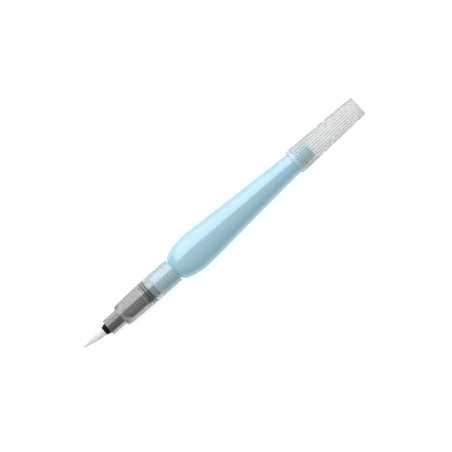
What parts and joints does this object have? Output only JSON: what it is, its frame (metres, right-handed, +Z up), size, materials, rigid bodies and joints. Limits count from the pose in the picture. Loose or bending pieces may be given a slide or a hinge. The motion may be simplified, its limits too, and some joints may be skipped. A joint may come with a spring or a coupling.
{
  "type": "brush pen",
  "caption": "Water brush pen: bristle tip, clear screw-on head with a dark feed core, oval squeezable blue barrel and a clear fluted cap pushed on the tail.",
  "frame": {"origin": "on the resting surface, below the middle of the pen's length", "axes": "+X along the pen from the bristle tip to the closed end of the posted cap, +Z up through the flatter face of the oval barrel"},
  "size_m": [0.183, 0.0196, 0.0135],
  "materials": {
    "bristles": "fine white nylon filaments",
    "fused_nylon": "satin",
    "black_plastic": "gloss",
    "clear_head": "clear gloss",
    "grey_core": "satin",
    "felt": "felt",
    "gasket": "soft translucent",
    "dark_plug": "satin",
    "blue_barrel": "translucent satin gloss",
    "clear_cap": "clear gloss"
  },
  "bodies": {
    "barrel": {"reservoir_barrel": "blue_barrel", "flow_plug": "dark_plug"},
    "seal": {"mouth_gasket": "gasket"},
    "head": {"head_sleeve": "clear_head", "tip_holder": "black_plastic", "feed_core": "grey_core", "felt_wick": "felt", "tuft_root": "fused_nylon"},
    "tuft": {"bristle_tuft": "bristles"},
    "cap": {"cap": "clear_cap"}
  },
  "joints": [
    {"name": "cap_pull", "type": "slide", "parent": "barrel", "child": "cap", "axis": [1, 0, 0], "range_m": [0, 0.04]},
    {"name": "head_travel", "type": "slide", "parent": "barrel", "child": "seal", "axis": [-1, 0, 0], "range_m": [0, 0.01026]},
    {"name": "head_turn", "type": "hinge", "parent": "seal", "child": "head", "pos_m": [-0.0435, 0, 0.00675], "axis": [-1, 0, 0], "range_deg": [0, 1800]},
    {"name": "tuft_flex", "type": "hinge", "parent": "head", "child": "tuft", "pos_m": [-0.0807, 0, 0.00675], "axis": [0, 0, 1], "range_deg": [-25, 25], "stiffness_Nm_per_rad": 0.004}
  ],
  "couplings": [
    {"joint": "head_travel", "follows": "head_turn", "m_per_rad": 0.00032627}
  ]
}
